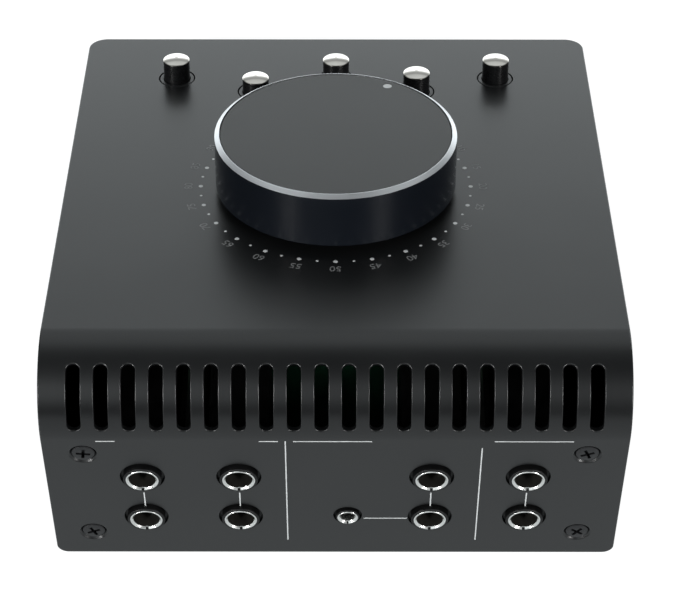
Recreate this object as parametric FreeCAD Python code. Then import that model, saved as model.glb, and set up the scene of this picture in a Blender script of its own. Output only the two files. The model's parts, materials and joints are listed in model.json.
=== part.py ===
import FreeCAD, Part
import math
import os

from FreeCAD import Placement, Rotation, Vector

# A studio monitor controller. Millimetres and degrees.
# +Z is up, the rear panel faces +Y, the user sits on the -Y side and +X is the user's right.
# The origin is on the table, under the middle of the whole object.

# Case
width = 138.0
slope = 16.29               # fall of the top plate towards the user
apex_height = 69.76         # line where the top and rear faces would meet, above the rear panel's lower edge
top_length = 161.73         # from that line down the slope to the front edge
bend_radius = 16.4          # outside of the bend between the top plate and the rear panel
sheet = 1.5                 # cover
front_corner = 5.0
rear_corner = 2.8
edge_round = 0.35
foot_height = 2.5
foot_radius = 6.35
foot_round = 0.7
foot_inset_x = 14.0
foot_inset_y = 15.0

# Vent slots, which run round the bend
slot_count = 20
slot_pitch = 6.4
slot_width = 3.2
slot_low_angle = 11.3       # elevation of a slot's lower end, seen from the middle of the bend
slot_high_angle = 69.5
slot_rim = 0.3

# Tray
tray_sheet = 1.2
tray_side_inset = 1.0
tray_front_inset = 1.2
tray_bend = 2.0
side_flange = 8.0
front_flange = 9.0
rear_flange_inner = 55.0
rear_flange_height = 46.0
hook_x = 28.0

# Knob and its potentiometer: t runs down the slope from the apex line, h stands out from the top plate
knob_t = 84.05
knob_radius = 30.5
knob_bottom = 1.6
knob_side_top = 15.4
knob_top = 16.28
knob_wall = 2.0
knob_web_bottom = 12.4
knob_floor = 14.9
ring_inner = 29.3
ring_spigot = 29.9
ring_crest = 29.4
disc_radius = 29.1
disc_top = 16.15
pointer_orbit = 26.7
pointer_radius = 1.15
pointer_angle = 150.0       # at zero volume, from the uphill direction towards -X
hub_radius = 7.0
hub_bottom = 5.2
insert_radius = 22.0
insert_bottom = 10.4
insert_rib = 1.6
insert_ribs = 6
shaft_radius = 3.0
shaft_flat = 1.5
shaft_top = 11.8
shaft_end = 2.2             # above the control board
shaft_collar = 4.2
shaft_collar_thick = 0.8
wiper_radius = 6.4
wiper_low = 3.1             # above the control board
wiper_thick = 0.8
wiper_brush = (4.4, 6.0)
brush_low = 1.9
thread_chamfer = 0.4
bushing_radius = 3.5
bushing_top = 4.6
pot_radius = 8.5
pot_wall = 1.3
pot_floor = 0.8
pot_lid = 2.0               # thickness of the housing's lid, under the top plate
pot_key = (2.4, 5.9, 6.9)   # width, and how near and how far from the axis
washer_radius = 6.5
washer = 0.5
nut_flats = 10.0
nut = 2.0
track_inner = 2.5
lug_places = (-5.0, 0.0, 5.0)
lug_width = 1.2
lug_reach = 9.6
running = 0.05              # radial clearance of a turning or sliding fit

# Buttons, from the user's left to the user's right: name, x, t, how far it is latched in
far_row_t = 139.5
near_row_t = 132.4
button_pitch = 21.75
latched_depth = 1.6
buttons = (
    ("source", -2 * button_pitch, far_row_t, 0.0),
    ("mute", -button_pitch, near_row_t, 0.0),
    ("dim", 0.0, far_row_t, 0.0),
    ("mono", button_pitch, near_row_t, latched_depth),
    ("monitor", 2 * button_pitch, far_row_t, 0.0),
)
cap_radius = 3.55
cap_top = 5.5
cap_bottom = -3.4
dome_top = 6.25
dome_rim = 0.35
dome_spigot = 2.5
dome_seat = 1.2             # depth of the seat for the spigot
button_hole = 4.98
guide_radius = 4.66
guide_bore = 3.63
guide_top = -0.05
plunger_side = 3.2
plunger_top = 2.9
switch_side = 8.4
switch_top = -6.2
switch_wall = 0.8
collar = 1.2
collar_side = 5.0
collar_drop = 1.1           # below the switch's top
stem_radius = 0.9
stem_length = 1.5
spring_wire = 0.32
spring_radius = 1.7
spring_turns = 3

# Jacks on the rear panel: z is above the panel's lower edge
jack_columns = (("output_b", 46.0), ("output_a", 23.0), ("input_b", -23.0), ("input_a", -46.0))
jack_rows = (("left", 32.8), ("right", 16.0))
jack_bore = 3.225
jack_proud = 1.2
ferrule_radius = 3.92
ferrule_mouth = 3.6         # where the bore's flared mouth meets the front
ferrule_length = 7.2
nose_radius = 5.2
nose_front_radius = 4.55
nose_proud = 1.05
nose_step = -0.9            # where the nose narrows, below the panel's face
nose_gap = 0.1
notch = 0.7                 # index notch in a ferrule's mouth: how wide, and how deep from the front
notch_depth = 0.5
jack_width = 14.6
jack_height = 15.8
jack_depth = 32.0           # behind the panel's inner face
jack_chamber = 3.6
chamber_end = -31.0
contact_angles = (90.0, 210.0, 330.0)
contact_orbit = 4.75
contact_width = 1.5
contact_thick = 0.3
contact_bump = 0.6
contact_front = -11.0
contact_tail = 2.6          # past the board's far side
small_jack_x = -3.0
small_jack_z = 16.5
small_bore = 1.8
small_mouth = 2.25
small_ferrule_radius = 2.5
small_ferrule_back = -4.0
small_proud = 0.8
small_nose_radius = 3.35
small_nose_front = 2.85
small_nose_proud = 0.6
small_side = 11.0
small_back = -14.0
small_notch = 0.45

# Fasteners, boards and the cable between them
screw_x = 59.4
screw_heights = (42.2, 9.3)
screw_radius = 1.5
screw_hole = 1.7
screw_length = 7.5
screw_sink = 3.45           # countersink at the panel's face
head_radius = 2.75
head_rim = -0.3             # heights of the head's edge and of its top, from the panel's face
head_top = -0.03
rim_round = 0.3             # painted edge of a countersink
hole_round = 0.2            # painted edge of a jack's hole
cross_length = 3.4
cross_width = 0.75
cross_depth = 1.2
pan_radius = 2.75
pan_edge = 1.2
pan_height = 1.9
first_cross_turn = 22.0     # no two screws were driven to the same angle
cross_turn_step = 31.0
board = 1.6
board_drop = 12.0           # underside of the top plate to the control board
control_board_t = (58.0, 151.0)
control_board_half = 57.0
control_posts = ((-52.0, 64.0), (52.0, 64.0), (-52.0, 145.5), (52.0, 145.5))
jack_board_half = 53.5
jack_board_z = (5.0, 47.0)
jack_posts = ((-34.5, 32.8), (34.5, 32.8), (-34.5, 16.0), (34.5, 16.0))
post_flats = 5.5
post_thread = 9.0
board_hole = 1.7
board_corner = 2.0
lug_hole = 1.0
contact_hole = 1.1
ribbon_width = 20.3
ribbon = 1.0
ribbon_bend = 6.0
connector = (22.6, 6.0, 9.0)
ribbon_low_z = 14.0
ribbon_high_t = 66.0

tilt = math.radians(slope)
depth = top_length * math.cos(tilt) - edge_round * (math.cos(tilt) + math.sin(tilt) - 1)
rear_y = (depth - jack_proud) / 2
front_y = rear_y - depth
turn = 90 + slope
bend_z = foot_height + apex_height - bend_radius * math.tan(math.radians(turn / 2))
bend_t = bend_radius * math.tan(math.radians(turn / 2))
tray_half = width / 2 - tray_side_inset
board_top = -sheet - board_drop
board_bottom = board_top - board
jack_back = -sheet - jack_depth

up = Vector(0, 0, 1)
slope_frame = Placement(Vector(0, rear_y, foot_height + apex_height), Rotation(Vector(1, 0, 0), slope))


# Frames and small helpers

def on_slope(shape, x=0.0, t=0.0, h=0.0):
    """Moves a shape, drawn flat with +Z as the outward normal, to a place on the sloping top."""
    placed = shape.copy()
    place = slope_frame.multiply(Placement(Vector(x, -t, h), Rotation()))
    placed.Placement = place.multiply(shape.Placement)
    return placed


def slope_point(x, t, h):
    return slope_frame.multVec(Vector(x, -t, h))


def on_rear(shape, x=0.0, z=0.0):
    """Moves a shape, drawn flat with +Z as the outward normal, to a place on the rear panel."""
    placed = shape.copy()
    place = Placement(Vector(x, rear_y, foot_height + z), Rotation(Vector(1, 0, 0), -90))
    placed.Placement = place.multiply(shape.Placement)
    return placed


def block(x0, x1, y0, y1, z0, z1):
    return Part.makeBox(x1 - x0, y1 - y0, z1 - z0, Vector(x0, y0, z0))


def square(side, z0, z1):
    return block(-side / 2, side / 2, -side / 2, side / 2, z0, z1)


def disc(radius, z0, z1, x=0.0, y=0.0):
    return Part.makeCylinder(radius, z1 - z0, Vector(x, y, z0), up)


def turned(outline):
    """A solid of revolution about Z, from (radius, height) points."""
    points = [Vector(r, 0, z) for r, z in outline]
    face = Part.Face(Part.makePolygon(points + points[:1]))
    return face.revolve(Vector(0, 0, 0), up, 360)


def hexagon(flats, z0, z1):
    corner = flats / math.sqrt(3)
    points = [Vector(corner * math.cos(math.radians(a)), corner * math.sin(math.radians(a)), z0)
              for a in range(0, 361, 60)]
    return Part.Face(Part.makePolygon(points)).extrude(Vector(0, 0, z1 - z0))


def edges_near(shape, test):
    """Edges whose every point satisfies the test."""
    found = []
    for edge in shape.Edges:
        if all(test(p) for p in edge.discretize(3)):
            found.append(edge)
    return found


def save(shape, name):
    if shape.ShapeType != "Compound" and len(shape.Solids) == 1:
        shape = shape.Solids[0]
    sound = shape.isValid() and len(shape.Solids) > 0
    print(name, len(shape.Solids), round(shape.Volume, 2), "" if sound else "NOT SOUND")
    shape.exportStep("parts/" + name + ".step")


# Cover and tray

def case_profile(inset, bottom, front_t):
    """The case's side outline, moved inwards: its rear, bend and top edges, and the outline's two ends."""
    radius = bend_radius - inset
    centre = Vector(0, rear_y - bend_radius, bend_z)

    def on_bend(angle):
        a = math.radians(angle)
        return centre + Vector(0, radius * math.cos(a), radius * math.sin(a))

    low = Vector(0, rear_y - inset, bottom)
    front = slope_point(0, front_t, -inset)
    return [
        Part.LineSegment(low, on_bend(0)).toShape(),
        Part.Arc(on_bend(0), on_bend(turn / 2), on_bend(turn)).toShape(),
        Part.LineSegment(on_bend(turn), front).toShape(),
    ], low, front


def slot_cutter(grow, inner, outer):
    """One vent slot: a sector of the bend with two round ends, square to the surface."""
    half = slot_width / 2 + grow
    end_turn = math.degrees(slot_width / 2 / bend_radius)
    low = slot_low_angle + end_turn
    high = slot_high_angle - end_turn
    centre = Vector(0, rear_y - bend_radius, bend_z)
    axis = Vector(1, 0, 0)
    start = Part.makePolygon([
        centre + Vector(-half, inner, 0),
        centre + Vector(half, inner, 0),
        centre + Vector(half, outer, 0),
        centre + Vector(-half, outer, 0),
        centre + Vector(-half, inner, 0),
    ])
    sector = Part.Face(start)
    sector.rotate(centre, axis, low)
    sector = sector.revolve(centre, axis, high - low)
    for angle in (low, high):
        a = math.radians(angle)
        direction = Vector(0, math.cos(a), math.sin(a))
        sector = sector.fuse(Part.makeCylinder(half, outer - inner, centre + direction * inner, direction))
    return sector


def make_cover():
    low_z = foot_height
    outer, outer_low, outer_front = case_profile(0.0, low_z, top_length)
    inner, inner_low, inner_front = case_profile(sheet, low_z, top_length)
    wire = Part.Wire(Part.__sortEdges__(
        outer + inner + [
            Part.LineSegment(outer_front, inner_front).toShape(),
            Part.LineSegment(inner_low, outer_low).toShape(),
        ]))
    cover = Part.Face(wire).extrude(Vector(width, 0, 0))
    cover.translate(Vector(-width / 2, 0, 0))

    def at_side(p):
        return abs(abs(p.x) - width / 2) < 0.01

    front = edges_near(cover, lambda p: at_side(p) and p.y < front_y + sheet)
    cover = cover.makeFillet(front_corner, front)
    rear = edges_near(cover, lambda p: at_side(p) and abs(p.z - low_z) < 0.01 and p.y > rear_y - 2 * sheet)
    cover = cover.makeFillet(rear_corner, rear)
    cover = round_outline(cover)

    cutters = []
    for i in range(slot_count):
        slot = slot_cutter(0.0, bend_radius - 2 * sheet, bend_radius + sheet)
        slot.translate(Vector((i - (slot_count - 1) / 2) * slot_pitch, 0, 0))
        cutters.append(slot)
    through = sheet * 2
    cutters.append(on_slope(disc(bushing_radius + 0.2, -through, through), 0, knob_t))
    key_width, key_near, key_far = pot_key
    key_half = key_width / 2 + 0.2
    key_hole = block(-key_half, key_half, key_near - 0.2, key_far + 0.2, -through, through)
    cutters.append(on_slope(key_hole, 0, knob_t))
    for name, x, t, latched in buttons:
        cutters.append(on_slope(disc(button_hole, -through, through), x, t))
    for column, x in jack_columns:
        for row, z in jack_rows:
            cutters.append(on_rear(disc(nose_radius + nose_gap, -through, through), x, z))
    cutters.append(on_rear(disc(small_nose_radius + nose_gap, -through, through), small_jack_x, small_jack_z))
    for side in (-1, 1):
        for z in screw_heights:
            cutters.append(on_rear(countersink(screw_hole), side * screw_x, z))
    cover = ease_holes(ease_slots(cover.cut(Part.makeCompound(cutters))))
    return cover.fuse(make_front_hooks()).removeSplitter()


def countersink(hole):
    """Cutter for a flat-head screw's seat and for the hole behind it."""
    return turned([
        (0, -10), (hole, -10), (hole, hole - screw_sink), (screw_sink + sheet, sheet), (0, sheet),
    ])


def round_outline(cover):
    """Takes the sharpness off the outer face's edge all the way round."""
    centre = Vector(0, rear_y - bend_radius, bend_z)

    def on_outer_face(p):
        if p.z < bend_z:
            return abs(p.y - rear_y) < 0.01
        local = slope_frame.inverse().multVec(p)
        if -local.y >= bend_t - 0.01:
            return abs(local.z) < 0.01
        return abs(math.hypot(p.y - centre.y, p.z - centre.z) - bend_radius) < 0.01

    outline = edges_near(cover, on_outer_face)
    across = [e for e in outline if not (abs(e.Length - width) < 0.01)]
    return cover.makeFillet(edge_round, across)


def ease_slots(cover):
    """Breaks the outer edge of every vent slot."""
    centre = Vector(0, rear_y - bend_radius, bend_z)
    first = -(slot_count - 1) / 2 * slot_pitch - slot_width
    low = math.radians(slot_low_angle - 2)
    high = math.radians(slot_high_angle + 2)

    def on_slot_rim(p):
        radius = math.hypot(p.y - centre.y, p.z - centre.z)
        angle = math.atan2(p.z - centre.z, p.y - centre.y)
        return abs(radius - bend_radius) < 0.01 and low < angle < high and abs(p.x) < -first

    return cover.makeFillet(slot_rim, edges_near(cover, on_slot_rim))


def ease_holes(cover):
    """Breaks the outer edge of the countersinks and of the jacks' holes."""
    def rim(x, z, radius):
        centre = Vector(x, rear_y, foot_height + z)
        return edges_near(cover, lambda p: abs(p.y - rear_y) < 0.01
                          and abs(p.distanceToPoint(centre) - radius) < 0.01)

    sinks = []
    for side in (-1, 1):
        for z in screw_heights:
            sinks += rim(side * screw_x, z, screw_sink)
    holes = rim(small_jack_x, small_jack_z, small_nose_radius + nose_gap)
    for column, x in jack_columns:
        for row, z in jack_rows:
            holes += rim(x, z, nose_radius + nose_gap)
    return cover.makeFillet(rim_round, sinks).makeFillet(hole_round, holes)


def make_tray():
    low_z = foot_height
    wall_front = front_y + tray_front_inset
    front_t = (rear_y - wall_front + sheet * math.sin(tilt)) / math.cos(tilt)
    edges, rear_low, front_high = case_profile(sheet, low_z, front_t)
    front_low = Vector(0, wall_front, low_z)
    wire = Part.Wire(Part.__sortEdges__(edges + [
        Part.LineSegment(front_high, front_low).toShape(),
        Part.LineSegment(front_low, rear_low).toShape(),
    ]))
    tray = Part.Face(wire).extrude(Vector(2 * tray_half, 0, 0))
    tray.translate(Vector(-tray_half, 0, 0))

    def folded(p):
        side = abs(abs(p.x) - tray_half) < 0.01
        floor = abs(p.z - low_z) < 0.01
        front = abs(p.y - wall_front) < 0.01
        return (side and floor) or (side and front) or (floor and front)

    tray = tray.makeFillet(tray_bend, edges_near(tray, folded))
    room = block(-tray_half + tray_sheet, tray_half - tray_sheet,
                 wall_front + tray_sheet, rear_y + depth, low_z + tray_sheet, 2 * apex_height)
    inside = tray_bend - tray_sheet

    def inner_fold(p):
        side = abs(abs(p.x) - tray_half + tray_sheet) < 0.01
        floor = abs(p.z - low_z - tray_sheet) < 0.01
        front = abs(p.y - wall_front - tray_sheet) < 0.01
        return (side and floor) or (side and front) or (floor and front)

    room = room.makeFillet(inside, edges_near(room, inner_fold))
    tray = tray.cut(room)

    wall = tray_half - tray_sheet / 2
    flange_top = -sheet
    flange_bottom = -sheet - tray_sheet
    flange_front = front_t - tray_sheet
    side_start = bend_t + side_flange / 2
    front = block(-wall, wall, -flange_front, -flange_front + front_flange, flange_bottom, flange_top)
    pieces = [on_slope(front)]
    for side in (-1, 1):
        x0, x1 = sorted((side * wall, side * (wall - side_flange)))
        pieces.append(on_slope(block(x0, x1, -flange_front, -side_start, flange_bottom, flange_top)))
        x0, x1 = sorted((side * wall, side * rear_flange_inner))
        back = rear_y - sheet
        ear = block(x0, x1, back - tray_sheet, back, low_z + side_flange / 2, low_z + rear_flange_height)
        for z in screw_heights:
            ear = ear.cut(on_rear(countersink(screw_radius + running), side * screw_x, z))
        pieces.append(ear)
    return tray.fuse(pieces).removeSplitter()


def make_front_hooks():
    """Two stepped tabs welded under the cover's front edge, which reach below the tray's front flange."""
    tab = 1.0
    half = 7.0
    start = top_length - 20.0
    step = top_length - 12.5
    reach = top_length - 5.0
    gap = 0.3
    low = -sheet - tray_sheet - gap - tab
    hooks = []
    for x in (-hook_x, hook_x):
        hook = block(x - half, x + half, -step - tab, -start, -sheet - tab, -sheet)
        hook = hook.fuse(block(x - half, x + half, -step - tab, -step, low, -sheet))
        hook = hook.fuse(block(x - half, x + half, -reach, -step, low, low + tab))
        hooks.append(on_slope(hook.removeSplitter()))
    return Part.makeCompound(hooks)


def make_feet():
    foot = disc(foot_radius, 0, foot_height)
    rim = edges_near(foot, lambda p: abs(p.z) < 0.01 and math.hypot(p.x, p.y) > foot_radius - 0.01)
    foot = foot.makeFillet(foot_round, rim)
    feet = []
    for x in (-width / 2 + foot_inset_x, width / 2 - foot_inset_x):
        for y in (front_y + foot_inset_y, rear_y - foot_inset_y):
            placed = foot.copy()
            placed.translate(Vector(x, y, 0))
            feet.append(placed)
    return Part.makeCompound(feet)


# Screws and posts

def cross_recess(top):
    half = cross_length / 2
    thin = cross_width / 2
    low = top - cross_depth
    return block(-half, half, -thin, thin, low, top + 1).fuse(block(-thin, thin, -half, half, low, top + 1))


def make_rear_screws():
    seat = 0.02 - screw_sink
    point = screw_radius - 0.4
    screw = turned([
        (0, -screw_length), (point, -screw_length), (screw_radius, 0.4 - screw_length),
        (screw_radius, seat + screw_radius), (head_radius, seat + head_radius), (head_radius, head_rim),
        (head_radius - 0.25, head_top - 0.1), (screw_radius, head_top), (0, head_top),
    ]).cut(cross_recess(head_top))
    screws = []
    for i, side in enumerate((-1, 1)):
        for j, z in enumerate(screw_heights):
            driven = screw.copy()
            driven.rotate(Vector(0, 0, 0), up, first_cross_turn + cross_turn_step * (2 * i + j))
            screws.append(on_rear(driven, side * screw_x, z))
    return Part.makeCompound(screws)


def make_standoffs():
    control = hexagon(post_flats, board_top, -sheet)
    control = control.cut(disc(screw_radius + running, board_top, -sheet - 3))
    rear = hexagon(post_flats, jack_back, -sheet)
    rear = rear.cut(disc(screw_radius + running, jack_back, jack_back + post_thread))
    posts = [on_slope(control, x, t) for x, t in control_posts]
    posts += [on_rear(rear, x, z) for x, z in jack_posts]
    return Part.makeCompound(posts)


def board_screw(face):
    """A pan-head screw that enters a board from its inner side, whose face is at this height."""
    head = turned([
        (0, face), (pan_radius, face), (pan_radius, face - pan_edge),
        (pan_radius + pan_edge - pan_height, face - pan_height), (0, face - pan_height),
    ])
    slot = cross_recess(0)
    slot.rotate(Vector(0, 0, 0), Vector(1, 0, 0), 180)
    slot.translate(Vector(0, 0, face - pan_height))
    return head.cut(slot).fuse(disc(screw_radius, face - 0.2, face + 6)).removeSplitter()


def make_board_screws():
    screws = [on_slope(board_screw(board_bottom), x, t) for x, t in control_posts]
    screws += [on_rear(board_screw(jack_back - board), x, z) for x, z in jack_posts]
    return Part.makeCompound(screws)


# Boards and the ribbon cable

def make_control_board():
    start, end = control_board_t
    slab = block(-control_board_half, control_board_half, -end, -start, board_bottom, board_top)
    upright = edges_near(slab, lambda p: abs(abs(p.x) - control_board_half) < 0.01
                         and min(abs(p.y + end), abs(p.y + start)) < 0.01)
    slab = slab.makeFillet(board_corner, upright)
    for x, t in control_posts:
        slab = slab.cut(disc(board_hole, board_bottom - 1, board_top + 1, x, -t))
    for x in lug_places:
        slab = slab.cut(disc(lug_hole, board_bottom - 1, board_top + 1, x, -knob_t - lug_reach + 0.2))
    return on_slope(slab)


def make_jack_board():
    low, high = jack_board_z
    slab = block(-jack_board_half, jack_board_half, -high, -low, jack_back - board, jack_back)
    for x, z in jack_posts:
        slab = slab.cut(disc(board_hole, jack_back - board - 1, jack_back + 1, x, -z))
    for column, x in jack_columns:
        for row, z in jack_rows:
            for angle in contact_angles:
                a = math.radians(angle)
                hole = disc(contact_hole, jack_back - board - 1, jack_back + 1,
                            x + contact_orbit * math.cos(a), -z + contact_orbit * math.sin(a))
                slab = slab.cut(hole)
    return on_rear(slab)


def make_ribbon_connectors():
    across, thick, tall = connector
    shell = block(-across / 2, across / 2, -thick / 2, thick / 2, -tall, 0)
    on_control_board = on_slope(shell, 0, ribbon_high_t, board_bottom)
    shell.translate(Vector(0, 0, jack_back - board))
    return Part.makeCompound([on_control_board, on_rear(shell, 0, ribbon_low_z)])


def make_ribbon():
    """A flat cable out of the jack board's connector, round one bend and up into the other."""
    tall = connector[2]
    start = Vector(0, rear_y + jack_back - board - tall, foot_height + ribbon_low_z)
    finish = slope_point(0, ribbon_high_t, board_bottom - tall)
    rise = slope_point(0, 0, 1) - slope_point(0, 0, 0)
    drop = (finish.z - start.z) / rise.z
    corner = finish - rise * drop
    first = (corner - start).normalize()
    second = (finish - corner).normalize()
    half_turn = first.getAngle(second) / 2
    reach = ribbon_bend * math.tan(half_turn)
    inward = (second - first).normalize()
    centre = corner + inward * (ribbon_bend / math.cos(half_turn))

    def side(offset):
        radius = ribbon_bend + offset
        away_first = (corner - first * reach - centre).normalize()
        away_second = (corner + second * reach - centre).normalize()
        away_middle = inward * -1
        return (
            start + away_first * offset,
            centre + away_first * radius,
            centre + away_middle * radius,
            centre + away_second * radius,
            finish + away_second * offset,
        )

    def strip(offset):
        p = side(offset)
        return [
            Part.LineSegment(p[0], p[1]).toShape(),
            Part.Arc(p[1], p[2], p[3]).toShape(),
            Part.LineSegment(p[3], p[4]).toShape(),
        ]

    outer = side(ribbon / 2)
    inner = side(-ribbon / 2)
    ends = [
        Part.LineSegment(outer[0], inner[0]).toShape(),
        Part.LineSegment(outer[4], inner[4]).toShape(),
    ]
    wire = Part.Wire(Part.__sortEdges__(strip(ribbon / 2) + strip(-ribbon / 2) + ends))
    cable = Part.Face(wire).extrude(Vector(ribbon_width, 0, 0))
    cable.translate(Vector(-ribbon_width / 2, 0, 0))
    return cable


# Jacks, drawn with +Z out of the panel

def make_nose(radius, front_radius, proud):
    """A socket's nose: it fills the panel's hole from behind and stands out of it, narrower."""
    ease = 0.12
    return turned([
        (0, -sheet), (radius, -sheet), (radius, nose_step), (front_radius, nose_step),
        (front_radius, proud - ease), (front_radius - ease, proud), (0, proud),
    ])


def make_jack_body():
    nose = make_nose(nose_radius, nose_front_radius, nose_proud)
    body = block(-jack_width / 2, jack_width / 2, -jack_height / 2, jack_height / 2, jack_back, -sheet)
    front_rim = edges_near(body, lambda p: abs(abs(p.x) - jack_width / 2) < 0.01
                           and abs(abs(p.y) - jack_height / 2) < 0.01)
    body = body.makeFillet(1.0, front_rim).fuse(nose)
    body = body.cut(disc(ferrule_radius + 0.01, jack_proud - ferrule_length, jack_proud))
    body = body.cut(disc(jack_chamber, chamber_end, jack_proud))
    for angle in contact_angles:
        slot = block(3.0, 5.6, -1.0, 1.0, jack_back - 1, contact_front + 1)
        slot.rotate(Vector(0, 0, 0), up, angle)
        body = body.cut(slot)
    return body.removeSplitter()


def make_ferrule():
    """The nickel bush: a tube with a flared mouth and a small index notch at its foot."""
    return make_bush(jack_bore, ferrule_mouth, ferrule_radius, jack_proud - ferrule_length, jack_proud, notch)


def make_bush(bore, mouth, radius, back, front, notch_width):
    ease = 0.08
    flare = mouth - bore
    bush = turned([
        (bore, back), (radius, back), (radius, front - ease), (radius - ease, front),
        (mouth, front), (bore, front - flare),
    ])
    half = notch_width / 2
    return bush.cut(block(-half, half, bore - flare, radius + 1, front - notch_depth, front + 1))


def make_contact():
    tail = jack_back - board - contact_tail
    leaf = block(contact_orbit - contact_thick / 2, contact_orbit + contact_thick / 2,
                 -contact_width / 2, contact_width / 2, tail, contact_front)
    bump = block(contact_orbit - contact_thick - contact_bump, contact_orbit + contact_thick / 2,
                 -contact_width / 2, contact_width / 2, contact_front - 2 * contact_bump, contact_front)
    return leaf.fuse(bump).removeSplitter()


def make_jack_contacts():
    contacts = []
    for column, x in jack_columns:
        for row, z in jack_rows:
            for angle in contact_angles:
                contact = make_contact()
                contact.rotate(Vector(0, 0, 0), up, angle)
                contacts.append(on_rear(contact, x, z))
    return Part.makeCompound(contacts)


def make_small_jack_body():
    nose = make_nose(small_nose_radius, small_nose_front, small_nose_proud)
    body = square(small_side, small_back, -sheet).fuse(nose)
    body = body.cut(disc(small_ferrule_radius + 0.01, small_ferrule_back, jack_proud))
    return body.cut(disc(small_bore + 0.2, small_back, jack_proud)).removeSplitter()


def make_small_ferrule():
    return make_bush(small_bore, small_mouth, small_ferrule_radius,
                     small_ferrule_back, small_proud, small_notch)


# Potentiometer and knob, drawn round the knob's axis with +Z out of the top plate

def make_pot_housing():
    floor = board_top + pot_floor
    lid = -sheet - pot_lid
    cup = disc(pot_radius, board_top, -sheet)
    cup = cup.cut(disc(pot_radius - pot_wall, floor, lid))
    cup = cup.cut(disc(bushing_radius + running, board_top, 0))
    cup = cup.fuse(disc(pot_radius, board_top, floor))
    lug_half = lug_places[-1] + lug_width
    cup = cup.cut(block(-lug_half, lug_half, -pot_radius - 1, -pot_radius / 2, floor, floor + lug_width))
    width_of_key, near, far = pot_key
    key = block(-width_of_key / 2, width_of_key / 2, near, far, -sheet - 0.5, -0.2)
    return cup.fuse(key).removeSplitter()


def make_pot_bushing():
    bore = shaft_radius + running
    low = -sheet - pot_lid
    return turned([
        (bore, low), (bushing_radius, low), (bushing_radius, bushing_top - thread_chamfer),
        (bushing_radius - thread_chamfer, bushing_top), (bore, bushing_top),
    ])


def make_pot_washer():
    return disc(washer_radius, 0, washer).cut(disc(bushing_radius + 0.1, -1, 1))


def make_pot_nut():
    top = washer + nut
    flats = nut_flats / 2
    outside = flats + 0.5
    corners = turned([
        (0, washer), (outside, washer), (outside, top - thread_chamfer), (flats, top), (0, top),
    ])
    blank = hexagon(nut_flats, washer, top).common(corners)
    return blank.cut(disc(bushing_radius + running, 0, top + 1))


def make_pot_track():
    """The resistive ring on the housing's floor, with three lugs that pass through the board."""
    floor = board_top + pot_floor
    thick = 0.8
    lug = 0.4
    half = lug_width / 2
    track = disc(pot_radius - pot_wall - 0.2, floor, floor + thick)
    track = track.cut(disc(track_inner, floor - 1, floor + 1))
    for x in lug_places:
        arm = block(x - half, x + half, -lug_reach, -pot_radius / 2, floor + lug, floor + thick)
        leg = block(x - half, x + half, -lug_reach, lug - lug_reach, board_bottom - thick, floor + thick)
        track = track.fuse(arm).fuse(leg)
    return track.removeSplitter()


def make_pot_shaft():
    shaft = disc(shaft_radius, board_top + shaft_end, shaft_top)
    under_lid = -sheet - pot_lid - 0.3
    shaft = shaft.fuse(disc(shaft_collar, under_lid - shaft_collar_thick, under_lid))
    aside = shaft_radius + 1
    flat = block(shaft_flat, aside, -aside, aside, hub_bottom + 0.2, shaft_top + 1)
    return shaft.cut(flat).removeSplitter()


def make_pot_wiper():
    low = board_top + wiper_low
    plate = disc(wiper_radius, low, low + wiper_thick).cut(disc(shaft_radius + 0.01, low - 1, low + 1))
    brush_near, brush_far = wiper_brush
    half = wiper_thick
    brush = block(-half, half, brush_near, brush_far, board_top + brush_low, low)
    return plate.fuse(brush).removeSplitter()


def make_knob():
    shell = turned([
        (0, knob_web_bottom), (knob_radius - knob_wall, knob_web_bottom),
        (knob_radius - knob_wall, knob_bottom), (knob_radius - 0.5, knob_bottom),
        (knob_radius, knob_bottom + 0.5), (knob_radius, knob_side_top), (ring_spigot, knob_side_top),
        (ring_spigot, knob_floor), (0, knob_floor),
    ])
    return shell


def make_trim_ring():
    return turned([
        (ring_inner, knob_floor), (ring_spigot - 0.02, knob_floor), (ring_spigot - 0.02, knob_side_top),
        (knob_radius, knob_side_top), (knob_radius, knob_side_top + 0.1), (ring_crest, knob_top),
        (ring_inner, knob_top),
    ])


def pointer_place():
    a = math.radians(pointer_angle)
    return -pointer_orbit * math.sin(a), pointer_orbit * math.cos(a)


def make_top_disc():
    x, y = pointer_place()
    plate = turned([
        (0, knob_floor), (disc_radius, knob_floor), (disc_radius, disc_top - 0.12),
        (disc_radius - 0.12, disc_top), (0, disc_top),
    ])
    return plate.cut(disc(pointer_radius + 0.03, knob_floor, disc_top + 1, x, y))


def make_pointer():
    x, y = pointer_place()
    return disc(pointer_radius, knob_floor, disc_top - 0.08, x, y)


def make_knob_insert():
    """The plastic hub inside the knob: a disc, a keyed boss and six ribs."""
    insert = disc(insert_radius, insert_bottom, knob_web_bottom)
    insert = insert.fuse(disc(hub_radius, hub_bottom, insert_bottom))
    half = insert_rib / 2
    rib_bottom = insert_bottom - 2 * insert_rib
    for i in range(insert_ribs):
        rib = block(hub_radius - 1, insert_radius - 2, -half, half, rib_bottom, insert_bottom)
        rib.rotate(Vector(0, 0, 0), up, 360 / insert_ribs * i)
        insert = insert.fuse(rib)
    bore = disc(shaft_radius + 0.01, hub_bottom - 1, shaft_top + 0.2)
    key = block(shaft_flat + 0.01, shaft_radius + 1, -shaft_radius - 1, shaft_radius + 1,
                hub_bottom + 0.4, shaft_top + 1)
    return insert.cut(bore.cut(key)).removeSplitter()


# Buttons, drawn round their own axis in the out position, with +Z out of the top plate

def make_cap():
    ease = 0.2
    seat = cap_top - dome_seat
    cap = turned([
        (0, cap_bottom), (cap_radius - ease, cap_bottom), (cap_radius, cap_bottom + ease),
        (cap_radius, cap_top), (dome_spigot, cap_top), (dome_spigot, seat), (0, seat),
    ])
    return cap.cut(square(plunger_side + 0.04, cap_bottom - 0.1, plunger_top + 0.1))


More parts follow.
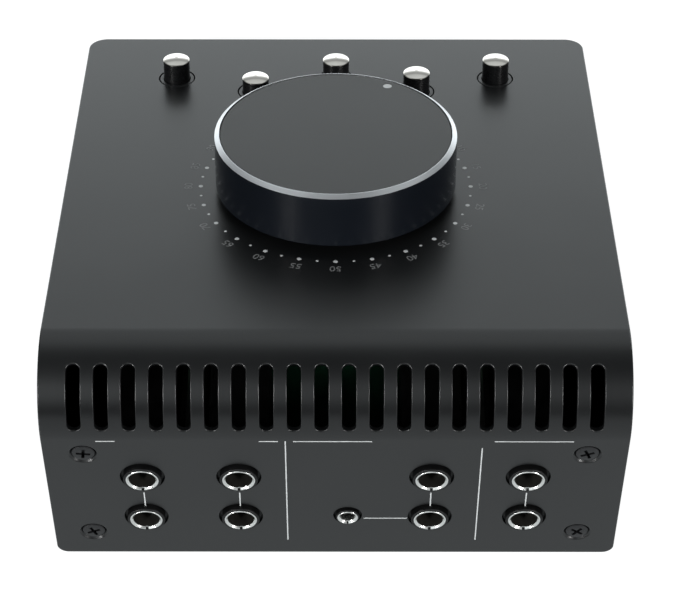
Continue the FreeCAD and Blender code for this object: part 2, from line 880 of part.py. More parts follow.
def make_guides():
    """Five sleeves that stand on the switches, fill the holes in the top plate and guide the caps."""
    ease = 0.12
    sleeve = turned([
        (guide_bore, switch_top), (guide_radius, switch_top), (guide_radius, guide_top - ease),
        (guide_radius - ease, guide_top), (guide_bore + ease, guide_top), (guide_bore, guide_top - ease),
    ])
    return Part.makeCompound([on_slope(sleeve, x, t) for name, x, t, latched in buttons])


def make_button_top():
    """The bright domed insert, whose rim is as wide as the cap."""
    edge = cap_top + dome_rim
    rise = dome_top - edge
    inner = cap_radius - 0.15
    sphere_radius = (inner ** 2 + rise ** 2) / (2 * rise)
    dome = Part.makeSphere(sphere_radius, Vector(0, 0, dome_top - sphere_radius))
    body = turned([
        (0, cap_top), (cap_radius, cap_top), (cap_radius, edge - 0.1), (inner, edge),
        (inner, dome_top), (0, dome_top),
    ])
    spigot = disc(dome_spigot - 0.02, cap_top - dome_seat, cap_top)
    return body.common(dome).fuse(spigot).removeSplitter()


def make_switch_body():
    room = collar_side + 0.4
    body = square(switch_side, board_top, switch_top)
    body = body.cut(square(room, board_top + switch_wall, switch_top - switch_wall))
    body = body.cut(square(plunger_side + 0.2, switch_top - 1, switch_top + 1))
    upright = edges_near(body, lambda p: abs(abs(p.x) - switch_side / 2) < 0.01
                         and abs(abs(p.y) - switch_side / 2) < 0.01)
    return body.makeFillet(0.4, upright)


def make_plunger():
    top = switch_top - collar_drop
    bottom = top - collar
    stem = square(plunger_side, top, plunger_top).fuse(square(collar_side, bottom, top))
    return stem.fuse(disc(stem_radius, bottom - stem_length, bottom)).removeSplitter()


def arc_between(start, direction, end):
    """The arc that leaves a point in a direction and reaches another point."""
    chord = end - start
    along = Vector(chord).normalize()
    aside = (direction - along * direction.dot(along)).normalize()
    bulge = chord.Length / 2 * math.tan(direction.getAngle(along) / 2)
    return Part.Arc(start, start + chord / 2 + aside * bulge, end).toShape()


def biarc(start, first, end, last):
    """Two tangent arcs from a point and direction to another point and direction."""
    chord = end - start
    square_term = 2 * (first.dot(last) - 1)
    linear_term = -2 * chord.dot(first + last)
    root = math.sqrt(linear_term ** 2 - 4 * square_term * chord.dot(chord))
    reach = (-linear_term - root) / (2 * square_term)
    corner = start + first * reach
    far_corner = end - last * reach
    joint = (corner + far_corner) / 2
    middle = (far_corner - corner).normalize()
    return [arc_between(start, first, joint), arc_between(joint, middle, end)]


def make_spring(latched):
    """The return spring, from the switch's floor to the plunger's collar."""
    clear = 0.03
    floor = board_top + switch_wall
    ceiling = switch_top - collar_drop - collar - latched
    low = floor + spring_wire / 2 + clear
    rise = ceiling - floor - spring_wire - 2 * clear
    climb = math.atan2(rise / spring_turns, 2 * math.pi * spring_radius)

    def place(quarter):
        a = quarter * math.pi / 2
        height = low + rise * quarter / (4 * spring_turns)
        return Vector(spring_radius * math.cos(a), spring_radius * math.sin(a), height)

    def heading(quarter):
        a = quarter * math.pi / 2
        return Vector(-math.sin(a) * math.cos(climb), math.cos(a) * math.cos(climb), math.sin(climb))

    path = []
    for quarter in range(4 * spring_turns):
        path += biarc(place(quarter), heading(quarter), place(quarter + 1), heading(quarter + 1))
    section = Part.Wire(Part.makeCircle(spring_wire / 2, place(0), heading(0)))
    coil = Part.Wire(path).makePipeShell([section], True, False)
    length = sum(edge.Length for edge in path)
    print("spring gap", round(rise / spring_turns - spring_wire, 2), "volume against section times length",
          round(coil.Volume / (math.pi * spring_wire ** 2 / 4 * length), 4))
    return coil


# Everything is built and written

os.makedirs("parts", exist_ok=True)

save(make_cover(), "cover")
save(make_tray(), "tray")
save(make_feet(), "rubber_feet")
save(make_rear_screws(), "rear_screws")
save(make_standoffs(), "board_standoffs")
save(make_board_screws(), "board_screws")
save(make_control_board(), "control_board")
save(make_jack_board(), "jack_board")
save(make_ribbon_connectors(), "ribbon_connectors")
save(make_ribbon(), "ribbon_cable")

jack_body = make_jack_body()
ferrule = make_ferrule()
ferrules = []
for column, x in jack_columns:
    for row, z in jack_rows:
        save(on_rear(jack_body, x, z), column + "_" + row + "_jack")
        ferrules.append(on_rear(ferrule, x, z))
save(Part.makeCompound(ferrules), "jack_ferrules")
save(make_jack_contacts(), "jack_contacts")
save(on_rear(make_small_jack_body(), small_jack_x, small_jack_z), "small_jack_body")
save(on_rear(make_small_ferrule(), small_jack_x, small_jack_z), "small_jack_ferrule")

knob_pieces = {
    "pot_housing": make_pot_housing,
    "pot_bushing": make_pot_bushing,
    "pot_washer": make_pot_washer,
    "pot_nut": make_pot_nut,
    "pot_track": make_pot_track,
    "pot_shaft": make_pot_shaft,
    "pot_wiper": make_pot_wiper,
    "volume_knob": make_knob,
    "knob_insert": make_knob_insert,
    "knob_trim_ring": make_trim_ring,
    "knob_top_disc": make_top_disc,
    "knob_pointer": make_pointer,
}
for name, make in knob_pieces.items():
    save(on_slope(make(), 0, knob_t), name)

save(make_guides(), "button_guides")
cap = make_cap()
button_top = make_button_top()
switch_body = make_switch_body()
plunger = make_plunger()
for name, x, t, latched in buttons:
    save(on_slope(cap, x, t, -latched), name + "_button_cap")
    save(on_slope(button_top, x, t, -latched), name + "_button_top")
    save(on_slope(plunger, x, t, -latched), name + "_plunger")
    save(on_slope(switch_body, x, t), name + "_switch_body")
    save(on_slope(make_spring(latched), x, t), name + "_spring")
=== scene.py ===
import json
import math

import bmesh
import bpy
from mathutils import Matrix, Vector


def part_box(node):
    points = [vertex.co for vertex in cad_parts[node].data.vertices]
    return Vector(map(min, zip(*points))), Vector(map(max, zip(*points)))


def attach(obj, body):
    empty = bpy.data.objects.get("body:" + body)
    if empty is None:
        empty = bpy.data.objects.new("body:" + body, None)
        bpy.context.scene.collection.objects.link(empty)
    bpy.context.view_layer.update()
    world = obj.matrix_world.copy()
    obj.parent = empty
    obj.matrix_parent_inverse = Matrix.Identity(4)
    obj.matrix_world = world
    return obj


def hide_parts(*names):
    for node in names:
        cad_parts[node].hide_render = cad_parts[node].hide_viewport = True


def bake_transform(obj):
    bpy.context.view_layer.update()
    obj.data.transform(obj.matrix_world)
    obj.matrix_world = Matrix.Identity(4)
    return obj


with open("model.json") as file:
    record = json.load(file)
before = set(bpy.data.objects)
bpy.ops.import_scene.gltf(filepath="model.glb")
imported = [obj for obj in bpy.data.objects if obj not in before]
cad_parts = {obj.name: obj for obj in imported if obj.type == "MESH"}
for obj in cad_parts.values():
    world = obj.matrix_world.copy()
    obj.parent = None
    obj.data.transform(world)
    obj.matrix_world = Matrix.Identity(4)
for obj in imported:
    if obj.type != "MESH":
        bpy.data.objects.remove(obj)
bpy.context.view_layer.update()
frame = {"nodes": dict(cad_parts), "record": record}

# Metres, in the part's own frame: the rear panel faces +Y and the user sits on the -Y side.
# On the sloping top, t runs down the slope from the apex line, where the top would meet the rear panel.
MM = 0.001

# The case, as the parts have it
slope = math.radians(16.29)
apex_height = 69.76 * MM
foot_height = 2.5 * MM
jack_proud = 1.2 * MM
rear_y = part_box("jack_ferrules")[1].y - jack_proud
bend_radius = 16.4 * MM
dome_rise = 0.4 * MM
dome_radius = 3.4 * MM
dome_sphere = (dome_radius ** 2 + dome_rise ** 2) / (2 * dome_rise)
knob_t = 84.05 * MM
jack_columns = (46.0, 23.0, -23.0, -46.0)
jack_rows = (32.8, 16.0)
jack_centres = [(x * MM, foot_height + z * MM) for x in jack_columns for z in jack_rows]
mouth_depth = 0.3 * MM
up_slope = Vector((0, math.cos(slope), math.sin(slope)))
out_of_top = Vector((0, -math.sin(slope), math.cos(slope)))
apex = Vector((0, rear_y, foot_height + apex_height))

# Telling the faces of a mesh apart
on_surface = 0.01 * MM      # a vertex this near a surface lies on it
wall_lean = 0.1             # a wall's normal has less than this along its bore

# Printing
ink_thickness = 0.03 * MM
dial_radius = 34.4 * MM
dial_values = range(0, 101, 5)
dial_middle = 50            # the value that points straight up the slope
dial_between = 2.5          # from a numbered value to the small dot after it
dial_step = 3.0             # degrees of turn for each unit of volume
large_dot = 0.56 * MM
small_dot = 0.34 * MM
dot_segments = 24
dot_edge = 0.94             # radius of a dot's upper edge over that of its lower edge
number_height = 2.1 * MM
number_orbit = 37.4 * MM
font_over_figure = 1.42     # font size over the height of its figures
rear_line = 0.29 * MM

# Light: brightness of the studio by the sine of the elevation, on the user's side and on the rear side
studio_tint = (0.94, 1.0, 1.02)
sky_peak = 3.2
user_side_sky = (
    (-1.0, 1.0), (0.0, 3.2), (0.13, 3.1), (0.20, 1.45), (0.25, 0.85), (0.31, 0.46), (0.38, 0.46),
    (0.46, 0.76), (0.68, 0.95), (0.82, 0.95), (0.92, 0.3), (1.0, 0.1),
)
rear_side_sky = (
    (-1.0, 0.8), (-0.03, 0.02), (0.18, 0.02), (0.36, 0.45), (0.5, 0.84),
    (0.75, 0.86), (0.9, 0.32), (1.0, 0.1),
)
sky_seam = 0.2                  # the two skies fade into each other between -y and +y
rear_sky_lean = (0.28, 1.35)    # how much of the rear sky is left at its -X and +X ends
lean_reach = 0.15               # the lean takes place between -x and +x
side_flags = (0.3, 0.75, 0.15)  # where the sky starts to fall off sideways, where it ends, what is left
strip_across = 1.15
strip_behind = 1.05
strip_height = 0.75
strip_aim = (0, 0, 0.05)
strip_size = (0.22, 0.7)
strip_power = 17.0

# White paper all round
paper_roughness = 0.6
paper_specular = 0.2
floor_half = 3.0
floor_albedo = 0.25
floor_glow = 0.9                # the sheet that the camera sees
bounce_glow_rear = 0.6          # the two that are seen in reflections and light the part from below
bounce_glow_user = 2.0
bounce_drop = 0.05 * MM
bright_floor_edge = -0.2        # y of the edge between those two
wall_glow = 0.96
wall_segments = 48
wall_radius = 2.9
wall_foot = -0.001
wall_shoulder = 2.2
wall_rim = 3.2
wall_top = 3.4
rim_radius = 0.6 * wall_radius

# Camera
camera_place = Vector((-0.69 * MM, rear_y + 329.86 * MM, foot_height + 510.29 * MM))
camera_pitch = math.radians(51.07)
camera_yaw = math.radians(0.069)
photo_width_px = 673
focal_px = 2427.2
sensor_width = 36.0             # millimetres, as Blender takes it


def top_point(x, t):
    """A point on the sloping top."""
    return apex + Vector((x, 0, 0)) - up_slope * t


def top_matrix(x, t):
    """Places a piece drawn flat, with +Z out of the plate and +Y up the slope."""
    return Matrix.Translation(top_point(x, t)) @ Matrix.Rotation(slope, 4, "X")


def rear_matrix():
    """Places a piece drawn flat, with +Z out of the rear panel, +Y up and +X towards the user's left."""
    place = Matrix.Translation(Vector((0, rear_y, foot_height)))
    return place @ Matrix.Rotation(math.radians(180), 4, "Z") @ Matrix.Rotation(math.radians(90), 4, "X")


# Materials

# Sockets of a Mix node that mixes colours
MIX_FROM = 6
MIX_TO = 7
MIX_RESULT = 2

patch_detail = 3.0
grain_detail = 2.0
wave_pitch = 0.314              # metres from ring to ring where a wave texture's scale is 1
wave_distortion = 0.4
cut_depth = 0.01 * MM


def add_node(tree, kind, **inputs):
    made = tree.nodes.new(kind)
    for name, value in inputs.items():
        made.inputs[name.replace("_", " ")].default_value = value
    return made


def noise(tree, size, detail, stretch=None):
    """Noise whose features are about this size, in metres, fixed to the piece."""
    place = tree.nodes.new("ShaderNodeTexCoord").outputs["Object"]
    if stretch:
        mapping = tree.nodes.new("ShaderNodeMapping")
        mapping.inputs["Scale"].default_value = stretch
        tree.links.new(place, mapping.inputs["Vector"])
        place = mapping.outputs["Vector"]
    texture = add_node(tree, "ShaderNodeTexNoise", Scale=1.0 / size, Detail=detail)
    tree.links.new(place, texture.inputs["Vector"])
    return texture.outputs["Fac"]


def spread(tree, value, low, high, start=0.3, end=0.7, shape="LINEAR"):
    """Goes from low to high as the value goes from start to end, which suit noise where they aren't given."""
    ramp = add_node(tree, "ShaderNodeMapRange", From_Min=start, From_Max=end, To_Min=low, To_Max=high)
    ramp.interpolation_type = shape
    tree.links.new(value, ramp.inputs["Value"])
    return ramp.outputs["Result"]


def mean(tree, first, second):
    """Half of one value and half of the other."""
    half = tree.nodes.new("ShaderNodeMath")
    half.operation = "MULTIPLY"
    half.inputs[1].default_value = 0.5
    total = tree.nodes.new("ShaderNodeMath")
    total.operation = "MULTIPLY_ADD"
    total.inputs[1].default_value = 0.5
    tree.links.new(first, total.inputs[0])
    tree.links.new(second, half.inputs[0])
    tree.links.new(half.outputs[0], total.inputs[2])
    return total.outputs[0]


def colour_mixer(tree, amount):
    mixer = tree.nodes.new("ShaderNodeMix")
    mixer.data_type = "RGBA"
    tree.links.new(amount, mixer.inputs[0])
    return mixer


def finish_material(name, colour, other, roughness, metallic=0.0, grain=0.3 * MM, depth=0.02 * MM,
                    strength=0.3, patch=12 * MM, stretch=None, ior=1.5):
    """A surface whose colour and roughness drift in patches and whose grain is a fine bump."""
    material = bpy.data.materials.new(name)
    material.use_nodes = True
    tree = material.node_tree
    shader = tree.nodes["Principled BSDF"]
    shader.inputs["Metallic"].default_value = metallic
    shader.inputs["IOR"].default_value = ior
    drift = noise(tree, patch, patch_detail)
    fine = noise(tree, grain, grain_detail, stretch)
    mixer = colour_mixer(tree, spread(tree, drift, 0, 1))
    mixer.inputs[MIX_FROM].default_value = (*colour, 1)
    mixer.inputs[MIX_TO].default_value = (*other, 1)
    tree.links.new(mixer.outputs[MIX_RESULT], shader.inputs["Base Color"])
    smooth, rough = roughness
    tree.links.new(spread(tree, mean(tree, fine, drift), smooth, rough), shader.inputs["Roughness"])
    bump = add_node(tree, "ShaderNodeBump", Strength=strength, Distance=depth)
    tree.links.new(fine, bump.inputs["Height"])
    tree.links.new(bump.outputs["Normal"], shader.inputs["Normal"])
    return material


def turned_material(name, colour, other, roughness, centre, pitch, strength):
    """A lathe-cut metal face: fine rings round an axis that stands out of the sloping top."""
    material = finish_material(name, colour, other, roughness, metallic=1.0, grain=0.15 * MM, strength=0.1)
    tree = material.node_tree
    shader = tree.nodes["Principled BSDF"]
    place = tree.nodes.new("ShaderNodeTexCoord").outputs["Object"]
    shift = tree.nodes.new("ShaderNodeVectorMath")
    shift.operation = "SUBTRACT"
    shift.inputs[1].default_value = centre
    level = tree.nodes.new("ShaderNodeVectorRotate")
    level.rotation_type = "X_AXIS"
    level.inputs["Angle"].default_value = -slope
    tree.links.new(place, shift.inputs[0])
    tree.links.new(shift.outputs["Vector"], level.inputs["Vector"])
    rings = add_node(tree, "ShaderNodeTexWave", Scale=wave_pitch / pitch, Distortion=wave_distortion)
    rings.wave_type = "RINGS"
    rings.rings_direction = "Z"
    tree.links.new(level.outputs["Vector"], rings.inputs["Vector"])
    bump = add_node(tree, "ShaderNodeBump", Strength=strength, Distance=cut_depth)
    grain_normal = shader.inputs["Normal"].links[0].from_socket
    tree.links.new(grain_normal, bump.inputs["Normal"])
    tree.links.new(rings.outputs["Fac"], bump.inputs["Height"])
    tree.links.new(bump.outputs["Normal"], shader.inputs["Normal"])
    return material


# The case and its print
cover_coat = finish_material(
    "cover_coat", (0.0046, 0.0049, 0.0053), (0.0060, 0.0063, 0.0066), (0.28, 0.34),
    grain=0.22 * MM, depth=0.012 * MM, strength=0.35, patch=25 * MM)
tray_coat = finish_material(
    "tray_coat", (0.0050, 0.0053, 0.0057), (0.0064, 0.0067, 0.0070), (0.34, 0.42),
    grain=0.25 * MM, depth=0.014 * MM, strength=0.4, patch=25 * MM)
black_screw = finish_material(
    "black_screw", (0.006, 0.006, 0.007), (0.012, 0.012, 0.013), (0.32, 0.46), metallic=0.2,
    grain=0.15 * MM, depth=0.01 * MM, strength=0.5, patch=1.5 * MM)
foot_rubber = finish_material(
    "foot_rubber", (0.012, 0.012, 0.012), (0.022, 0.022, 0.021), (0.7, 0.85),
    grain=0.3 * MM, depth=0.02 * MM, strength=0.6, patch=5 * MM)
print_white = finish_material(
    "print_white", (0.54, 0.55, 0.55), (0.64, 0.65, 0.65), (0.5, 0.65), grain=0.08 * MM, patch=1.5 * MM)
print_grey = finish_material(
    "print_grey", (0.15, 0.152, 0.153), (0.18, 0.182, 0.183), (0.5, 0.65), grain=0.08 * MM, patch=1.5 * MM)

# The knob
knob_side = finish_material(
    "knob_side", (0.0044, 0.0060, 0.0090), (0.0056, 0.0072, 0.0106), (0.20, 0.27),
    grain=0.12 * MM, depth=0.006 * MM, strength=0.25, patch=18 * MM)
knob_face = finish_material(
    "knob_face", (0.0070, 0.0073, 0.0071), (0.0090, 0.0092, 0.0090), (0.34, 0.42),
    grain=0.14 * MM, depth=0.01 * MM, strength=0.35, patch=14 * MM, ior=1.42)
bright_cut = turned_material(
    "bright_cut", (0.74, 0.75, 0.77), (0.82, 0.83, 0.85), (0.38, 0.46),
    centre=top_point(0, knob_t), pitch=0.12 * MM, strength=0.12)
pointer_pale = finish_material(
    "pointer_pale", (0.56, 0.57, 0.57), (0.64, 0.65, 0.65), (0.45, 0.6), grain=0.1 * MM)

# The buttons
cap_black = finish_material(
    "cap_black", (0.0045, 0.0046, 0.0050), (0.0060, 0.0061, 0.0065), (0.24, 0.32),
    grain=0.4 * MM, depth=0.004 * MM, strength=0.15, patch=3 * MM)
cap_chrome = finish_material(
    "cap_chrome", (0.58, 0.55, 0.51), (0.64, 0.61, 0.57), (0.05, 0.10), metallic=1.0,
    grain=0.5 * MM, depth=0.003 * MM, strength=0.1, patch=3 * MM)
guide_plastic = finish_material(
    "guide_plastic", (0.0080, 0.0082, 0.0085), (0.0110, 0.0112, 0.0115), (0.34, 0.44),
    grain=0.15 * MM, depth=0.008 * MM, strength=0.3, patch=4 * MM)
switch_plastic = finish_material(
    "switch_plastic", (0.55, 0.55, 0.50), (0.62, 0.62, 0.58), (0.4, 0.55), patch=4 * MM)
spring_steel = finish_material(
    "spring_steel", (0.50, 0.50, 0.50), (0.60, 0.60, 0.60), (0.2, 0.3), metallic=1.0, patch=2 * MM)

# The jacks
nickel = finish_material(
    "nickel", (0.76, 0.76, 0.74), (0.84, 0.84, 0.82), (0.22, 0.30), metallic=1.0,
    grain=0.3 * MM, depth=0.004 * MM, strength=0.2, patch=3 * MM)
# Painted shade: a dark grey for the walls deep in the jack bores, standing in for the shade inside them
bore_painted_shade = finish_material(
    "bore_painted_shade", (0.040, 0.038, 0.034), (0.060, 0.057, 0.050), (0.45, 0.6), metallic=0.8,
    grain=0.3 * MM, depth=0.004 * MM, strength=0.2, patch=3 * MM)
jack_plastic = finish_material(
    "jack_plastic", (0.0020, 0.0020, 0.0021), (0.0032, 0.0032, 0.0034), (0.42, 0.55),
    grain=0.2 * MM, depth=0.01 * MM, strength=0.4, patch=4 * MM, ior=1.36)
contact_metal = finish_material(
    "contact_metal", (0.60, 0.45, 0.20), (0.70, 0.55, 0.28), (0.2, 0.35), metallic=1.0, patch=3 * MM)

# The boards and what is on them
circuit_board = finish_material(
    "circuit_board", (0.006, 0.030, 0.016), (0.008, 0.040, 0.020), (0.3, 0.45),
    grain=0.5 * MM, depth=0.01 * MM, strength=0.3, patch=8 * MM)
plated_steel = finish_material(
    "plated_steel", (0.50, 0.50, 0.48), (0.62, 0.61, 0.57), (0.25, 0.4), metallic=1.0,
    grain=0.25 * MM, depth=0.01 * MM, strength=0.3, patch=4 * MM)
connector_plastic = finish_material(
    "connector_plastic", (0.012, 0.012, 0.012), (0.018, 0.018, 0.018), (0.4, 0.55), patch=5 * MM)
cable_grey = finish_material(
    "cable_grey", (0.30, 0.30, 0.31), (0.36, 0.36, 0.37), (0.4, 0.5),
    grain=1.27 * MM, depth=0.2 * MM, strength=0.8, stretch=(1, 0.02, 0.02))

by_slot = {
    "cover_coat": cover_coat, "tray_coat": tray_coat, "foot_rubber": foot_rubber, "black_screw": black_screw,
    "plated_steel": plated_steel, "circuit_board": circuit_board, "connector_plastic": connector_plastic,
    "cable_grey": cable_grey, "nickel": nickel, "contact_metal": contact_metal, "jack_plastic": jack_plastic,
    "knob_side": knob_side, "bright_cut": bright_cut, "knob_face": knob_face, "pointer_pale": pointer_pale,
    "cap_black": cap_black, "cap_chrome": cap_chrome, "switch_plastic": switch_plastic,
    "guide_plastic": guide_plastic, "spring_steel": spring_steel,
}
slot_of_node = {s["node"]: s["material_slot"] for s in frame["record"]["subparts"]}
for node_name, node_object in frame["nodes"].items():
    node_object.data.materials.clear()
    node_object.data.materials.append(by_slot[slot_of_node[node_name]])


# Shading of the exact surfaces

def steady_normals(node, rules):
    """Gives every face that lies wholly on one of the given surfaces that surface's true normals."""
    mesh = frame["nodes"][node].data
    normals = [corner.vector.copy() for corner in mesh.corner_normals]
    for polygon in mesh.polygons:
        for true_normal in rules:
            found = [true_normal(mesh.vertices[v].co) for v in polygon.vertices]
            if None not in found:
                for loop, normal in zip(polygon.loop_indices, found):
                    normals[loop] = normal
                break
    mesh.normals_split_custom_set(normals)


def steady_cover():
    """The outside of the cover is a flat rear panel, a flat top and the part of a cylinder between them."""
    bend_y = rear_y - bend_radius
    bend_z = foot_height + apex_height - bend_radius * math.tan((math.pi / 2 + slope) / 2)

    def rear_normal(place):
        return Vector((0, 1, 0)) if abs(place.y - rear_y) < on_surface else None

    def top_normal(place):
        return out_of_top if abs((place - apex).dot(out_of_top)) < on_surface else None

    def bend_normal(place):
        out = Vector((0, place.y - bend_y, place.z - bend_z))
        return out.normalized() if abs(out.length - bend_radius) < on_surface else None

    steady_normals("cover", (rear_normal, top_normal, bend_normal))


def steady_dome(node):
    """The dome's centre lies under the middle of the node, a sphere's radius below its highest point."""
    places = [v.co - apex for v in frame["nodes"][node].data.vertices]
    across = [place.x for place in places]
    along = [place.dot(up_slope) for place in places]
    height = max(place.dot(out_of_top) for place in places)
    middle = apex + Vector(((min(across) + max(across)) / 2, 0, 0))
    middle += up_slope * (min(along) + max(along)) / 2 + out_of_top * (height - dome_sphere)

    def dome_normal(place):
        out = place - middle
        return out.normalized() if abs(out.length - dome_sphere) < on_surface else None

    steady_normals(node, (dome_normal,))


def looks_at_axis(polygon):
    """Whether a bush's face looks at that bush's own axis."""
    place = Vector((polygon.center.x, polygon.center.z))
    axis = min((Vector(centre) for centre in jack_centres), key=lambda c: (c - place).length)
    return (axis - place).dot(Vector((polygon.normal.x, polygon.normal.z))) > 0


def dull_the_bores():
    """Painted shade: the bushes keep their bright metal at their mouths, and the walls of the bores get a
    dark grey that stands in for the shade deep in the holes.
    """
    mesh = frame["nodes"]["jack_ferrules"].data
    # Painted shade: the second material darkens the bore walls where shade falls
    mesh.materials.append(bore_painted_shade)
    for polygon in mesh.polygons:
        deepest = min(mesh.vertices[v].co.y for v in polygon.vertices)
        is_wall = abs(polygon.normal.y) < wall_lean and deepest < rear_y - mouth_depth
        if is_wall and looks_at_axis(polygon):
            polygon.material_index = 1


steady_cover()
for node_name in frame["nodes"]:
    if node_name.endswith("_button_top"):
        steady_dome(node_name)
dull_the_bores()


# Springs

def make_springs():
    """Each return spring is drawn as a fixed copy of its coils, and its own part is hidden."""
    for node in [name for name in frame["nodes"] if name.endswith("_spring")]:
        spring = bpy.data.objects.new(node + "_coils", frame["nodes"][node].data.copy())
        bpy.context.scene.collection.objects.link(spring)
        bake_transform(spring)
        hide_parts(node)


make_springs()


# Print: thin raised meshes, drawn flat and then placed

def add_piece(name, mesh, material, body, matrix):
    """A new piece of one material, placed by matrix and riding on a body."""
    mesh.transform(matrix)
    mesh.materials.clear()
    mesh.materials.append(material)
    piece = bpy.data.objects.new(name, mesh)
    bpy.context.scene.collection.objects.link(piece)
    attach(piece, body)


def add_drawing(name, build, material, body, matrix):
    """A piece whose mesh is drawn by build(bm)."""
    bm = bmesh.new()
    build(bm)
    mesh = bpy.data.meshes.new(name)
    bm.to_mesh(mesh)
    bm.free()
    add_piece(name, mesh, material, body, matrix)


def add_text(name, words, height, material, body, matrix):
    """A piece in the shape of figures of this height."""
    curve = bpy.data.curves.new(name, "FONT")
    curve.body = words
    curve.size = height * font_over_figure
    curve.align_x = "CENTER"
    curve.align_y = "CENTER"
    curve.extrude = ink_thickness / 2
    holder = bpy.data.objects.new(name + "_text", curve)
    bpy.context.scene.collection.objects.link(holder)
    bpy.context.view_layer.update()
    mesh = bpy.data.meshes.new_from_object(holder)
    bpy.data.objects.remove(holder)
    mesh.name = name
    add_piece(name, mesh, material, body, matrix)


def draw_dot(bm, radius, x, y):
    bmesh.ops.create_cone(bm, cap_ends=True, segments=dot_segments, radius1=radius, radius2=radius * dot_edge,
                          depth=ink_thickness, matrix=Matrix.Translation((x, y, ink_thickness / 2)))


def draw_bar(bm, start, end, wide):
    """A flat line between two points."""
    start = Vector(start)
    end = Vector(end)
    along = (end - start).normalized()
    aside = Vector((-along.y, along.x)) * wide / 2
    corners = [start - aside, end - aside, end + aside, start + aside]
    low = [bm.verts.new((c.x, c.y, 0)) for c in corners]
    high = [bm.verts.new((c.x, c.y, ink_thickness)) for c in corners]
    bm.faces.new(reversed(low))
    bm.faces.new(high)
    for i in range(4):
        j = (i + 1) % 4
        bm.faces.new((low[i], low[j], high[j], high[i]))


def dial_angle(value):
    """Turn from the uphill direction towards +X, so that the numbers rise clockwise for the user."""
    return math.radians((value - dial_middle) * dial_step)


def dial_place(value, orbit):
    angle = dial_angle(value)
    return orbit * math.sin(angle), orbit * math.cos(angle)


def make_dial():
    """A large dot and a number at every fifth value, and a small dot half way to the next."""
    def large(bm):
        for value in dial_values:
            draw_dot(bm, large_dot, *dial_place(value, dial_radius))

    def small(bm):
        for value in dial_values[:-1]:
            draw_dot(bm, small_dot, *dial_place(value + dial_between, dial_radius))

    matrix = top_matrix(0, knob_t)
    add_drawing("dial_large_dots", large, print_white, "chassis", matrix)
    add_drawing("dial_small_dots", small, print_white, "chassis", matrix)
    for value in dial_values:
        x, y = dial_place(value, number_orbit)
        turn = -dial_angle(value)
        spot = matrix @ Matrix.Translation((x, y, ink_thickness / 2)) @ Matrix.Rotation(turn, 4, "Z")
        add_text(f"dial_number_{value}", str(value), number_height, print_grey, "chassis", spot)


make_dial()


def make_rear_print():
    """Header lines, the two dividers and the lines that join sockets.

    Millimetres: x towards the user's right, z up from the case's underside.
    """
    heading_z = 47.4
    headings = ((56.1, 51.6), (17.9, 13.4), (9.9, -8.6), (-37.3, -55.8))
    divider_low = 5.8
    dividers = ((11.7, 47.5), (-34.5, 44.8))
    link_low = 20.4
    link_high = 26.3
    pair_z = 15.3
    pair_start = -6.9
    pair_end = -17.5

    def lines(bm):
        def line(x0, z0, x1, z1):
            draw_bar(bm, (-x0 * MM, z0 * MM), (-x1 * MM, z1 * MM), rear_line)

        for start, end in headings:
            line(start, heading_z, end, heading_z)
        for x, divider_high in dividers:
            line(x, divider_low, x, divider_high)
        for x in jack_columns:
            line(x, link_low, x, link_high)
        line(pair_start, pair_z, pair_end, pair_z)

    add_drawing("rear_lines", lines, print_white, "chassis", rear_matrix())


make_rear_print()


# Stage, light and camera

def paper_material(name, colour, glow, diffuse):
    material = bpy.data.materials.new(name)
    material.use_nodes = True
    shader = material.node_tree.nodes["Principled BSDF"]
    shader.inputs["Base Color"].default_value = (*diffuse, 1)
    shader.inputs["Roughness"].default_value = paper_roughness
    shader.inputs["Specular IOR Level"].default_value = paper_specular
    shader.inputs["Emission Color"].default_value = (*colour, 1)
    shader.inputs["Emission Strength"].default_value = glow
    return material


def make_floor():
    """One sheet for the camera, and below it two of the studio's brightness for reflections."""
    # name, height, glow, and the y of both ends
    sheets = (
        ("floor", 0.0, floor_glow, -floor_half, floor_half),
        ("floor_bounce", -bounce_drop, bounce_glow_rear, bright_floor_edge, floor_half),
        ("floor_bounce_user_side", -bounce_drop, bounce_glow_user, -floor_half, bright_floor_edge),
    )
    for name, z, glow, y0, y1 in sheets:
        corners = [(-floor_half, y0, z), (floor_half, y0, z), (floor_half, y1, z), (-floor_half, y1, z)]
        mesh = bpy.data.meshes.new(name)
        mesh.from_pydata(corners, [], [(0, 1, 2, 3)])
        for_camera = name == "floor"
        colour = (1.0, 1.0, 1.0) if for_camera else studio_tint
        mesh.materials.append(paper_material(name + "_paper", colour, glow, (floor_albedo,) * 3))
        floor = bpy.data.objects.new(name, mesh)
        bpy.context.scene.collection.objects.link(floor)
        floor.visible_camera = for_camera
        floor.visible_glossy = not for_camera
        floor.visible_diffuse = not for_camera


def make_backdrop():
    """A pale round wall and its roof behind the floor, seen by the camera only."""
    rings = ((wall_radius, wall_foot), (wall_radius, wall_shoulder), (rim_radius, wall_rim))
    points = []
    for radius, z in rings:
        for i in range(wall_segments):
            angle = 2 * math.pi * i / wall_segments
            points.append((radius * math.cos(angle), radius * math.sin(angle), z))
    points.append((0, 0, wall_top))
    faces = []
    for ring in range(len(rings) - 1):
        low = ring * wall_segments
        high = low + wall_segments
        for i in range(wall_segments):
            j = (i + 1) % wall_segments
            faces.append((low + i, low + j, high + j, high + i))
    rim = (len(rings) - 1) * wall_segments
    for i in range(wall_segments):
        faces.append((rim + i, rim + (i + 1) % wall_segments, len(points) - 1))
    mesh = bpy.data.meshes.new("backdrop")
    mesh.from_pydata(points, [], faces)
    mesh.materials.append(paper_material("backdrop_paper", (1.0, 1.0, 1.0), wall_glow, (0.0, 0.0, 0.0)))
    backdrop = bpy.data.objects.new("backdrop", mesh)
    bpy.context.scene.collection.objects.link(backdrop)
    backdrop.visible_diffuse = False
    backdrop.visible_glossy = False
    backdrop.visible_transmission = False
    backdrop.visible_shadow = False


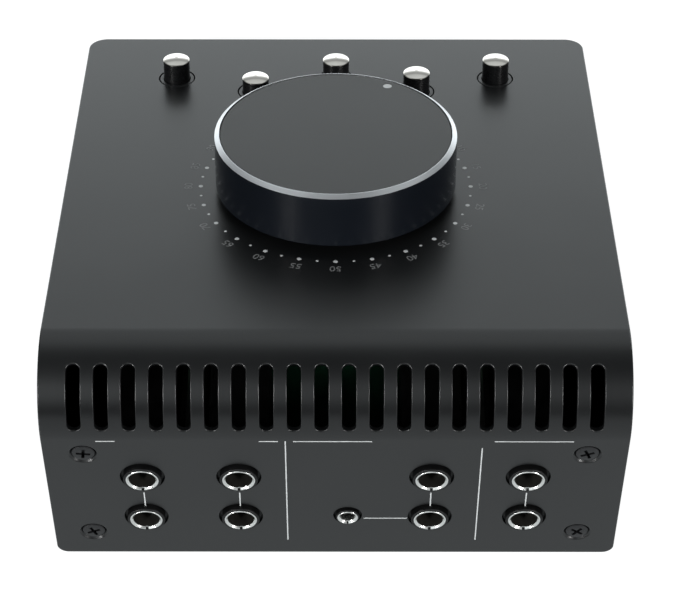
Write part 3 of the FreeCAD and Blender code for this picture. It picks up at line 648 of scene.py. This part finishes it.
def elevation_ramp(tree, height, stops):
    """The studio's colour by the sine of the elevation, as a share of the brightest part of the sky."""
    ramp = tree.nodes.new("ShaderNodeValToRGB")
    elements = ramp.color_ramp.elements
    while len(elements) > 1:
        elements.remove(elements[-1])
    for i, (sine, bright) in enumerate(stops):
        element = elements[0] if i == 0 else elements.new((sine + 1) / 2)
        element.position = (sine + 1) / 2
        element.color = (*(bright / sky_peak * tint for tint in studio_tint), 1)
    tree.links.new(height, ramp.inputs["Fac"])
    return ramp.outputs["Color"]


def times(tree, colour, amount):
    product = tree.nodes.new("ShaderNodeVectorMath")
    product.operation = "SCALE"
    tree.links.new(colour, product.inputs[0])
    tree.links.new(amount, product.inputs["Scale"])
    return product.outputs[0]


def make_sky():
    """The studio round the table: a bright sweep on the user's side, a high soft box over the rear."""
    world = bpy.data.worlds.new("studio")
    bpy.context.scene.world = world
    world.use_nodes = True
    tree = world.node_tree
    direction = tree.nodes.new("ShaderNodeTexCoord").outputs["Generated"]
    parts = tree.nodes.new("ShaderNodeSeparateXYZ")
    tree.links.new(direction, parts.inputs[0])
    x, y, z = parts.outputs
    height = spread(tree, z, 0, 1, start=-1, end=1)

    lean = spread(tree, x, *rear_sky_lean, start=-lean_reach, end=lean_reach)
    rear_sky = times(tree, elevation_ramp(tree, height, rear_side_sky), lean)
    user_sky = elevation_ramp(tree, height, user_side_sky)
    mixer = colour_mixer(tree, spread(tree, y, 0, 1, start=-sky_seam, end=sky_seam, shape="SMOOTHSTEP"))
    tree.links.new(user_sky, mixer.inputs[MIX_FROM])
    tree.links.new(rear_sky, mixer.inputs[MIX_TO])

    aside = tree.nodes.new("ShaderNodeMath")
    aside.operation = "ABSOLUTE"
    tree.links.new(x, aside.inputs[0])
    flag_start, flag_end, flag_left = side_flags
    flags = spread(tree, aside.outputs[0], 1, flag_left, start=flag_start, end=flag_end)
    background = tree.nodes["Background"]
    background.inputs["Strength"].default_value = sky_peak
    tree.links.new(times(tree, mixer.outputs[MIX_RESULT], flags), background.inputs["Color"])


def make_strip(name, place):
    light = bpy.data.lights.new(name, "AREA")
    light.shape = "RECTANGLE"
    light.size, light.size_y = strip_size
    light.energy = strip_power
    holder = bpy.data.objects.new(name, light)
    holder.location = place
    holder.rotation_euler = (Vector(strip_aim) - Vector(place)).to_track_quat("-Z", "Y").to_euler()
    bpy.context.scene.collection.objects.link(holder)


def make_camera():
    camera = bpy.data.cameras.new("camera")
    camera.sensor_width = sensor_width
    camera.lens = focal_px / photo_width_px * sensor_width
    holder = bpy.data.objects.new("camera", camera)
    forward = Vector((
        math.sin(camera_yaw) * math.cos(camera_pitch),
        -math.cos(camera_yaw) * math.cos(camera_pitch),
        -math.sin(camera_pitch),
    ))
    holder.location = camera_place
    holder.rotation_euler = forward.to_track_quat("-Z", "Y").to_euler()
    bpy.context.scene.collection.objects.link(holder)
    bpy.context.scene.camera = holder


make_floor()
make_backdrop()
make_sky()
make_strip("strip_left", (-strip_across, strip_behind, strip_height))
make_strip("strip_right", (strip_across, strip_behind, strip_height))
make_camera()
bpy.context.scene.view_settings.view_transform = "Standard"
